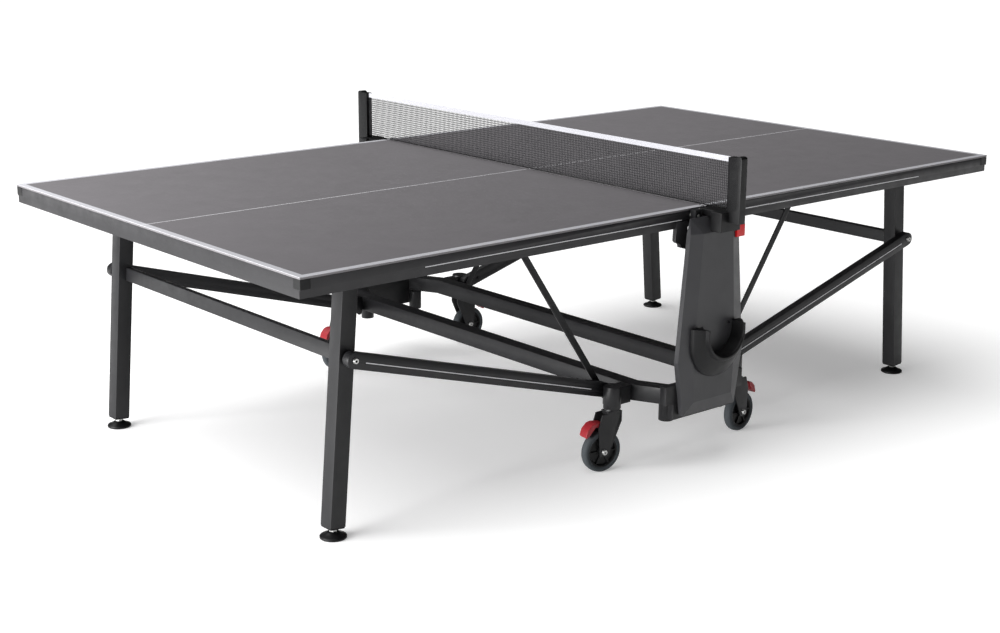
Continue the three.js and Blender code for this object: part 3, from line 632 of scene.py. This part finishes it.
cradle_outer = 0.101
cradle_outer_z = 0.371
cradle_inner = 0.070
cradle_inner_z = 0.409
cradle_tip_z = 0.425
cradle_back = 0.8203
cradle_section = [
    (0.0, cradle_back), (0.0, 0.8620), (0.02, 0.8672), (0.07, 0.8698), (0.15, 0.8698), (0.20, 0.8674),
    (0.22, 0.8610), (0.26, 0.8570), (0.38, 0.8545), (0.55, 0.8490), (0.75, 0.8415), (0.90, 0.8350),
    (0.97, 0.8320), (1.0, 0.8280), (1.0, cradle_back),
]
cradle_steps = 40
for end, sy in (("near", -1), ("far", 1)):
    inner_path = [(-cradle_inner, cradle_tip_z)]
    outer_path = [(-cradle_outer, cradle_tip_z)]
    for k in range(cradle_steps + 1):
        angle = math.pi + math.pi * k / cradle_steps
        inner_path.append((cradle_inner * math.cos(angle), cradle_inner_z + cradle_inner * math.sin(angle)))
        outer_path.append((cradle_outer * math.cos(angle), cradle_outer_z + cradle_outer * math.sin(angle)))
    inner_path.append((cradle_inner, cradle_tip_z))
    outer_path.append((cradle_outer, cradle_tip_z))
    work = bmesh.new()
    loops = []
    for (ix, iz), (ox, oz) in zip(inner_path, outer_path):
        places = [(ix + f * (ox - ix), sy * y, iz + f * (oz - iz)) for f, y in cradle_section]
        loops.append([work.verts.new(place) for place in places])
    count = len(cradle_section)
    for before, after in zip(loops, loops[1:]):
        for k in range(count):
            j = (k + 1) % count
            work.faces.new((before[k], before[j], after[j], after[k]))
    work.faces.new(loops[0])
    work.faces.new(loops[-1])
    bmesh.ops.recalc_face_normals(work, faces=work.faces)
    cradle = piece_from(f"{end}_cradle", work, cap_plastic, "undercarriage", 0.0015)
    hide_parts(f"{end}_ball_holder")

# ---- Release levers -------------------------------------------------------
# Red moulded handles under the corner of each tower's head, one at each end, which a hand pulls to
# let a half fold. Each is a thick glossy moulding with well rounded edges.

red_plastic = finish_of(
    "red_moulding", (0.56, 0.008, 0.012), (0.66, 0.012, 0.016),
    rough=(0.3, 0.42), grain=1300.0, depth=0.00005,
)
for end in ("near", "far"):
    softened(f"{end}_lever_handle", f"{end}_release_lever", 0.0040, red_plastic, 3)

# ---- Castors --------------------------------------------------------------
# Twin-plate pressed forks with a soft grey tyre moulded on a black nylon hub, and a red brake
# pedal over each wheel.

tyre_rubber = finish_of(
    "tyre_rubber", (0.036, 0.042, 0.047), (0.048, 0.055, 0.061),
    rough=(0.7, 0.85), grain=900.0, depth=0.0002,
)
wheel_radius = 0.0625
wheel_half = 0.014
hub_radius = 0.047
tyre_profile = [
    (hub_radius, -0.0125), (0.0540, -0.0138), (0.0590, -0.0118), (0.0616, -0.0080), (wheel_radius, -0.0030),
    (wheel_radius, 0.0030), (0.0616, 0.0080), (0.0590, 0.0118), (0.0540, 0.0138), (hub_radius, 0.0125),
]
hub_profile = [
    (0.0058, -wheel_half), (0.0125, -wheel_half), (0.0140, -0.0125), (0.0150, -0.0060), (0.0400, -0.0050),
    (0.0430, -0.0115), (hub_radius + 0.0004, -0.0122), (hub_radius + 0.0004, 0.0122), (0.0430, 0.0115),
    (0.0400, 0.0050), (0.0150, 0.0060), (0.0140, 0.0125), (0.0125, wheel_half), (0.0058, wheel_half),
]
spokes = 6
spoke_half = 0.0105
spoke = [(0.013, -0.0025), (0.042, -0.0018), (0.042, 0.0018), (0.013, 0.0025)]
pedal_red = finish_of(
    "pedal_moulding", (0.24, 0.012, 0.018), (0.31, 0.016, 0.022),
    rough=(0.38, 0.5), grain=1300.0, depth=0.00006,
)
pedal_edge = 0.0022
pedal_arm = [(-0.046, 0.140), (-0.040, 0.1515), (-0.064, 0.1545), (-0.076, 0.1500), (-0.072, 0.1365)]
pedal_arm_half = 0.0140
pedal_pad = [
    (-0.062, 0.1540), (-0.078, 0.1500), (-0.093, 0.1350), (-0.0990, 0.1160), (-0.0955, 0.1110),
    (-0.0845, 0.1192), (-0.068, 0.1380),
]
pedal_pad_half = 0.0180
for side in ("left", "right"):
    for end in ("near", "far"):
        corner = f"{end}_{side}"
        spin = joint[f"{corner}_wheel_spin"]
        centre = Vector(spin["pos_m"])
        upright = Vector(spin["axis"]).to_track_quat("Z", "Y").to_matrix().to_4x4()
        wheel_place = Matrix.Translation(centre) @ upright
        tyre = turned(tyre_profile, 72, wheel_place, closed=True)
        wheel_body = f"{corner}_castor_wheel"
        tyre_piece = piece_from(f"{corner}_tyre", tyre, tyre_rubber, wheel_body)
        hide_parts(f"{corner}_wheel")
        hub = turned(hub_profile, 72, wheel_place, closed=True)
        for k in range(spokes):
            arm = outlined(spoke, -spoke_half, spoke_half)
            spoke_turn = Matrix.Rotation(2 * math.pi * k / spokes, 4, "Z")
            bmesh.ops.transform(arm, matrix=wheel_place @ spoke_turn, verts=arm.verts)
            hub = added(hub, arm)
        piece_from(f"{corner}_hub", hub, cap_plastic, wheel_body, 0.0006)
        softened(f"{corner}_fork_pressing", f"{corner}_castor_fork", 0.0008, steel_paint)
        swivel = Vector(joint[f"{corner}_castor_swivel"]["pos_m"])
        trail = (centre - swivel).to_2d().normalized()
        level = math.atan2(-trail.y, -trail.x)
        pedal_place = Matrix.Translation((swivel.x, swivel.y, 0)) @ Matrix.Rotation(level, 4, "Z")
        arm = outlined(pedal_arm, -pedal_arm_half, pedal_arm_half, "y")
        pad = outlined(pedal_pad, -pedal_pad_half, pedal_pad_half, "y")
        pedal = piece_from(
            f"{corner}_pedal", added(arm, pad), pedal_red, f"{corner}_castor_brake",
            pedal_edge, 3, pedal_place,
        )
        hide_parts(f"{corner}_brake_pedal")

# ---- Net posts and brackets -----------------------------------------------
# Black moulded posts on a bracket over the tower's head, each with a finely ribbed sleeve that
# grips the end of the net.

post_edge = 0.0022
for end in ("near", "far"):
    softened(f"{end}_post_moulding", f"{end}_net_post", post_edge, cap_plastic, 3)
    softened(f"{end}_bracket_moulding", f"{end}_net_bracket", post_edge, cap_plastic, 3)


def named_tree(name, inputs):
    """An empty Geometry Nodes tree with a geometry input and output and named size inputs."""
    group = bpy.data.node_groups.new(name, "GeometryNodeTree")
    group.interface.new_socket("Geometry", in_out="INPUT", socket_type="NodeSocketGeometry")
    group.interface.new_socket("Geometry", in_out="OUTPUT", socket_type="NodeSocketGeometry")
    for label, kind in inputs:
        group.interface.new_socket(label, in_out="INPUT", socket_type=kind)
    start = group.nodes.new("NodeGroupInput")
    end = group.nodes.new("NodeGroupOutput")
    return group, start, end


def grown(name, points, group, values, material, body, facing=None):
    """Runs a tree on a set of points and keeps the result as one plain mesh on a body."""
    mesh = bpy.data.meshes.new(name + "_points")
    mesh.from_pydata(points, [], [])
    if facing is not None:
        layer = mesh.attributes.new("facing", "FLOAT_VECTOR", "POINT")
        for i, direction in enumerate(facing):
            layer.data[i].vector = direction
    seed = new_object(name + "_points", mesh)
    growth = seed.modifiers.new("growth", "NODES")
    growth.node_group = group
    for item in group.interface.items_tree:
        if item.in_out == "INPUT" and item.name in values:
            growth[item.identifier] = values[item.name]
        elif item.in_out == "INPUT" and item.name == "Finish":
            growth[item.identifier] = material
    scene.view_layers[0].update()
    graph = bpy.context.evaluated_depsgraph_get()
    made = bpy.data.meshes.new_from_object(seed.evaluated_get(graph))
    made.name = name
    seed.modifiers.remove(growth)
    bpy.data.objects.remove(seed)
    piece = new_object(name, made)
    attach(piece, body)
    return piece


rib_tree, start, end_node = named_tree(
    "ribs_up_a_face",
    [
        ("Rib size", "NodeSocketVector"), ("Pitch", "NodeSocketFloat"), ("Count", "NodeSocketInt"),
        ("Finish", "NodeSocketMaterial"),
    ],
)
nodes, links = rib_tree.nodes, rib_tree.links
rise = nodes.new("ShaderNodeCombineXYZ")
row = nodes.new("GeometryNodeMeshLine")
rib = nodes.new("GeometryNodeMeshCube")
set_rows = nodes.new("GeometryNodeInstanceOnPoints")
spread = nodes.new("GeometryNodeInstanceOnPoints")
solid = nodes.new("GeometryNodeRealizeInstances")
painted = nodes.new("GeometryNodeSetMaterial")
links.new(start.outputs["Pitch"], rise.inputs["Z"])
links.new(start.outputs["Count"], row.inputs["Count"])
links.new(rise.outputs["Vector"], row.inputs["Offset"])
links.new(start.outputs["Rib size"], rib.inputs["Size"])
links.new(row.outputs["Mesh"], set_rows.inputs["Points"])
links.new(rib.outputs["Mesh"], set_rows.inputs["Instance"])
links.new(start.outputs["Geometry"], spread.inputs["Points"])
links.new(set_rows.outputs["Instances"], spread.inputs["Instance"])
links.new(spread.outputs["Instances"], solid.inputs["Geometry"])
links.new(solid.outputs["Geometry"], painted.inputs["Geometry"])
links.new(start.outputs["Finish"], painted.inputs["Material"])
links.new(painted.outputs["Geometry"], end_node.inputs["Geometry"])

rib_size = (0.0007, 0.030, 0.0016)
rib_pitch = 0.0036
rib_count = 38
rib_foot_z = 0.766
rib_inset = 0.003
for end, sy in (("near", -1), ("far", 1)):
    low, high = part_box(f"{end}_net_post")
    middle_y = (low.y + high.y) / 2 - sy * rib_inset
    feet = [(low.x, middle_y, rib_foot_z), (high.x, middle_y, rib_foot_z)]
    sizes = {"Rib size": rib_size, "Pitch": rib_pitch, "Count": rib_count}
    grown(f"{end}_post_ribs", feet, rib_tree, sizes, cap_plastic, "undercarriage")

# ---- Net ------------------------------------------------------------------
# Knotted polyester cords in 7 mm squares, hung from a white woven tape folded over its top cord and
# weighted by a black cord along the bottom.

net_tree, start, end_node = named_tree(
    "square_net",
    [
        ("Upright cords", "NodeSocketInt"), ("Level cords", "NodeSocketInt"),
        ("Pitch across", "NodeSocketFloat"), ("Pitch up", "NodeSocketFloat"),
        ("Width", "NodeSocketFloat"), ("Height", "NodeSocketFloat"),
        ("Cord radius", "NodeSocketFloat"), ("Knot radius", "NodeSocketFloat"), ("Ripple", "NodeSocketFloat"),
        ("Finish", "NodeSocketMaterial"),
    ],
)
nodes, links = net_tree.nodes, net_tree.links
step_across = nodes.new("ShaderNodeCombineXYZ")
step_up = nodes.new("ShaderNodeCombineXYZ")
links.new(start.outputs["Pitch across"], step_across.inputs["Y"])
links.new(start.outputs["Pitch up"], step_up.inputs["Z"])


def line_of_points(count, offset):
    row = nodes.new("GeometryNodeMeshLine")
    links.new(start.outputs[count], row.inputs["Count"])
    links.new(offset.outputs["Vector"], row.inputs["Offset"])
    return row.outputs["Mesh"]


def cord_of(length, pieces, lie, shift_axis):
    """A six-sided cord with its low end at the origin, turned to lie along Y or Z."""
    cord = nodes.new("GeometryNodeMeshCylinder")
    cord.inputs["Vertices"].default_value = 6
    cord.inputs["Side Segments"].default_value = pieces
    links.new(start.outputs["Cord radius"], cord.inputs["Radius"])
    links.new(start.outputs[length], cord.inputs["Depth"])
    half = nodes.new("ShaderNodeMath")
    half.operation = "MULTIPLY"
    half.inputs[1].default_value = 0.5
    links.new(start.outputs[length], half.inputs[0])
    shift = nodes.new("ShaderNodeCombineXYZ")
    links.new(half.outputs[0], shift.inputs[shift_axis])
    move = nodes.new("GeometryNodeTransform")
    move.inputs["Rotation"].default_value = lie
    links.new(cord.outputs["Mesh"], move.inputs["Geometry"])
    links.new(shift.outputs["Vector"], move.inputs["Translation"])
    return move.outputs["Geometry"]


def instanced(points, shape):
    copies = nodes.new("GeometryNodeInstanceOnPoints")
    links.new(points, copies.inputs["Points"])
    links.new(shape, copies.inputs["Instance"])
    return copies.outputs["Instances"]


uprights = instanced(line_of_points("Upright cords", step_across), cord_of("Height", 8, (0, 0, 0), "Z"))
levels = instanced(line_of_points("Level cords", step_up), cord_of("Width", 120, (math.pi / 2, 0, 0), "Y"))
knot = nodes.new("GeometryNodeMeshIcoSphere")
knot.inputs["Subdivisions"].default_value = 1
links.new(start.outputs["Knot radius"], knot.inputs["Radius"])
knot_column = instanced(line_of_points("Level cords", step_up), knot.outputs["Mesh"])
knots = instanced(line_of_points("Upright cords", step_across), knot_column)
joined = nodes.new("GeometryNodeJoinGeometry")
for part in (uprights, levels, knots):
    links.new(part, joined.inputs["Geometry"])
hung = instanced(start.outputs["Geometry"], joined.outputs["Geometry"])
solid = nodes.new("GeometryNodeRealizeInstances")
links.new(hung, solid.inputs["Geometry"])
wave = nodes.new("ShaderNodeTexNoise")
wave.inputs["Scale"].default_value = 4.5
wave.inputs["Detail"].default_value = 1.0
where = nodes.new("GeometryNodeInputPosition")
links.new(where.outputs["Position"], wave.inputs["Vector"])
centred = nodes.new("ShaderNodeMath")
centred.operation = "SUBTRACT"
centred.inputs[1].default_value = 0.5
links.new(wave.outputs["Fac"], centred.inputs[0])
amount = nodes.new("ShaderNodeMath")
amount.operation = "MULTIPLY"
links.new(centred.outputs[0], amount.inputs[0])
links.new(start.outputs["Ripple"], amount.inputs[1])
sway = nodes.new("ShaderNodeCombineXYZ")
links.new(amount.outputs[0], sway.inputs["X"])
swayed = nodes.new("GeometryNodeSetPosition")
links.new(solid.outputs["Geometry"], swayed.inputs["Geometry"])
links.new(sway.outputs["Vector"], swayed.inputs["Offset"])
painted = nodes.new("GeometryNodeSetMaterial")
links.new(swayed.outputs["Geometry"], painted.inputs["Geometry"])
links.new(start.outputs["Finish"], painted.inputs["Material"])
links.new(painted.outputs["Geometry"], end_node.inputs["Geometry"])

cord_fibre = finish_of(
    "net_cord_fibre", (0.018, 0.018, 0.020), (0.030, 0.029, 0.032),
    rough=(0.75, 0.9), grain=2500.0, depth=0.0001,
)
net_low, net_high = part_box("net_mesh")
tape_low, tape_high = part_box("net_tape")
net_width = net_high.y - net_low.y
net_foot = net_low.z + 0.001
net_height = tape_low.z + 0.002 - net_foot
mesh_square = 0.0070
cord_radius = 0.0010
knot_radius = 0.0012
sway_width = 0.0003
upright_cords = round(net_width / mesh_square) + 1
level_cords = round(net_height / mesh_square) + 1
net = grown(
    "net_cords", [(0, net_low.y, net_foot)], net_tree,
    {
        "Upright cords": upright_cords, "Level cords": level_cords,
        "Pitch across": net_width / (upright_cords - 1), "Pitch up": net_height / (level_cords - 1),
        "Width": net_width, "Height": net_height, "Cord radius": cord_radius, "Knot radius": knot_radius,
        "Ripple": sway_width,
    },
    cord_fibre, "undercarriage",
)
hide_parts("net_mesh")

tape_weave, tape_tree, tape_shader = node_material("tape_weave")
weave = tape_tree.nodes.new("ShaderNodeTexWave")
weave.inputs["Scale"].default_value = 420
weave.bands_direction = "DIAGONAL"
weave_place = tape_tree.nodes.new("ShaderNodeTexCoord")
tape_tree.links.new(weave_place.outputs["Object"], weave.inputs["Vector"])
tape_dark = (0.40, 0.40, 0.43)
tape_light = (0.50, 0.50, 0.53)
tape_colour = mixed(tape_tree, weave.outputs["Fac"], tape_dark, tape_light)
tape_tree.links.new(tape_colour, tape_shader.inputs["Base Color"])
tape_tree.links.new(ranged(tape_tree, noise_of(tape_tree, 60.0), 0.7, 0.9), tape_shader.inputs["Roughness"])
tape_bump = tape_tree.nodes.new("ShaderNodeBump")
tape_bump.inputs["Distance"].default_value = 0.0001
tape_tree.links.new(weave.outputs["Fac"], tape_bump.inputs["Height"])
tape_tree.links.new(tape_bump.outputs["Normal"], tape_shader.inputs["Normal"])

tape_half = 0.0013
tape_wall = 0.0006
tape_inner = tape_half - tape_wall
fold_z = tape_high.z - tape_half
fold_steps = 6
outer_fold = []
inner_fold = []
for k in range(fold_steps + 1):
    angle = math.pi * k / fold_steps
    outer_fold.append((tape_half * math.cos(angle), fold_z + tape_half * math.sin(angle)))
    inner_fold.append((tape_inner * math.cos(angle), fold_z + tape_inner * math.sin(angle)))
section = [(tape_half, tape_low.z), *outer_fold, (-tape_half, tape_low.z), (-tape_inner, tape_low.z)]
section += [*reversed(inner_fold), (tape_inner, tape_low.z)]
folded_tape = outlined(section, tape_low.y, tape_high.y, "y")
tape = piece_from("net_top_tape", folded_tape, tape_weave, "undercarriage", smooth=False)
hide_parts("net_tape")


def round_cord(name, points, radius, material, body, sides=10):
    """A round cord along a list of points."""
    work = bmesh.new()
    rings = []
    for i, point in enumerate(points):
        before = Vector(points[max(i - 1, 0)])
        after = Vector(points[min(i + 1, len(points) - 1)])
        turn = (after - before).to_track_quat("Z", "Y").to_matrix()
        ring = []
        for k in range(sides):
            angle = 2 * math.pi * k / sides
            offset = turn @ Vector((radius * math.cos(angle), radius * math.sin(angle), 0))
            ring.append(work.verts.new(Vector(point) + offset))
        rings.append(ring)
    for lower, upper in zip(rings, rings[1:]):
        for k in range(sides):
            j = (k + 1) % sides
            work.faces.new((lower[k], lower[j], upper[j], upper[k]))
    work.faces.new(rings[0])
    work.faces.new(rings[-1])
    bmesh.ops.recalc_face_normals(work, faces=work.faces)
    return piece_from(name, work, material, body)


hem_radius = 0.0016
hem = round_cord(
    "net_bottom_cord", [(0, net_low.y, net_foot), (0, 0, net_foot), (0, net_high.y, net_foot)],
    hem_radius, cap_plastic, "undercarriage",
)

# ---- Bolts and screws -----------------------------------------------------
# Zinc-plated socket screws at the struts' upper pivots and the castor axles, and small black ones on
# the cradles. Each is a short cone with a sunk socket.

screw_tree, start, end_node = named_tree(
    "socket_screws",
    [("Radius", "NodeSocketFloat"), ("Height", "NodeSocketFloat"), ("Finish", "NodeSocketMaterial")],
)
nodes, links = screw_tree.nodes, screw_tree.links
head = nodes.new("GeometryNodeMeshCone")
head.inputs["Vertices"].default_value = 16
crown = nodes.new("ShaderNodeMath")
crown.operation = "MULTIPLY"
crown.inputs[1].default_value = 0.82
links.new(start.outputs["Radius"], crown.inputs[0])
links.new(start.outputs["Radius"], head.inputs["Radius Bottom"])
links.new(crown.outputs[0], head.inputs["Radius Top"])
links.new(start.outputs["Height"], head.inputs["Depth"])
inset = nodes.new("GeometryNodeExtrudeMesh")
inset.inputs["Offset Scale"].default_value = 0
links.new(head.outputs["Mesh"], inset.inputs["Mesh"])
links.new(head.outputs["Top"], inset.inputs["Selection"])
narrowed = nodes.new("GeometryNodeScaleElements")
narrowed.inputs["Scale"].default_value = 0.55
links.new(inset.outputs["Mesh"], narrowed.inputs["Geometry"])
links.new(inset.outputs["Top"], narrowed.inputs["Selection"])
depth = nodes.new("ShaderNodeMath")
depth.operation = "MULTIPLY"
depth.inputs[1].default_value = -0.6
links.new(start.outputs["Height"], depth.inputs[0])
sunk = nodes.new("GeometryNodeExtrudeMesh")
links.new(narrowed.outputs["Geometry"], sunk.inputs["Mesh"])
links.new(inset.outputs["Top"], sunk.inputs["Selection"])
links.new(depth.outputs[0], sunk.inputs["Offset Scale"])
direction = nodes.new("GeometryNodeInputNamedAttribute")
direction.data_type = "FLOAT_VECTOR"
direction.inputs["Name"].default_value = "facing"
aim = nodes.new("FunctionNodeAlignRotationToVector")
links.new(direction.outputs["Attribute"], aim.inputs["Vector"])
placed = nodes.new("GeometryNodeInstanceOnPoints")
links.new(start.outputs["Geometry"], placed.inputs["Points"])
links.new(sunk.outputs["Mesh"], placed.inputs["Instance"])
links.new(aim.outputs["Rotation"], placed.inputs["Rotation"])
solid = nodes.new("GeometryNodeRealizeInstances")
links.new(placed.outputs["Instances"], solid.inputs["Geometry"])
painted = nodes.new("GeometryNodeSetMaterial")
links.new(solid.outputs["Geometry"], painted.inputs["Geometry"])
links.new(start.outputs["Finish"], painted.inputs["Material"])
links.new(painted.outputs["Geometry"], end_node.inputs["Geometry"])


def screws(name, places, radius, height, material, body, slot):
    points = [place for place, _ in places]
    facing = [Vector(way).normalized() for _, way in places]
    values = {"Radius": radius, "Height": height}
    return grown(name, points, screw_tree, values, material, body, facing)


strut_bolt = (0.0080, 0.006)
castor_bolt = (0.0085, 0.005)
shell_screw = (0.0045, 0.003)
strut_bolt_y = strut_outer_y + 0.001
fork_half = 0.0195
shell_screw_x = 0.055
shell_screw_y = 0.8205
shell_screw_rise = 0.150
for side, sx in (("left", -1), ("right", 1)):
    for end, sy in (("near", -1), ("far", 1)):
        corner = f"{end}_{side}"
        top_bolt = (sx * (strut_low_x + strut_slope_x), sy * strut_bolt_y, strut_low_z + strut_slope_z)
        places = [(top_bolt, (0, sy, 0))]
        screws(f"{corner}_strut_bolts", places, *strut_bolt, zinc, f"{corner}_strut_arm", "zinc_steel")
        spin = joint[f"{corner}_wheel_spin"]
        centre = Vector(spin["pos_m"])
        axis = Vector(spin["axis"])
        ends = [(centre + way * fork_half * axis, way * axis) for way in (-1, 1)]
        screws(f"{corner}_castor_bolts", ends, *castor_bolt, zinc, f"{corner}_castor", "zinc_steel")
for end, sy in (("near", -1), ("far", 1)):
    low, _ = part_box(f"{end}_ball_holder")
    screw_z = low.z + shell_screw_rise
    seats = [((shell_screw_x * way, sy * shell_screw_y, screw_z), (0, sy, 0)) for way in (-1, 1)]
    screws(f"{end}_shell_screws", seats, *shell_screw, cap_plastic, "undercarriage", "black_plastic")
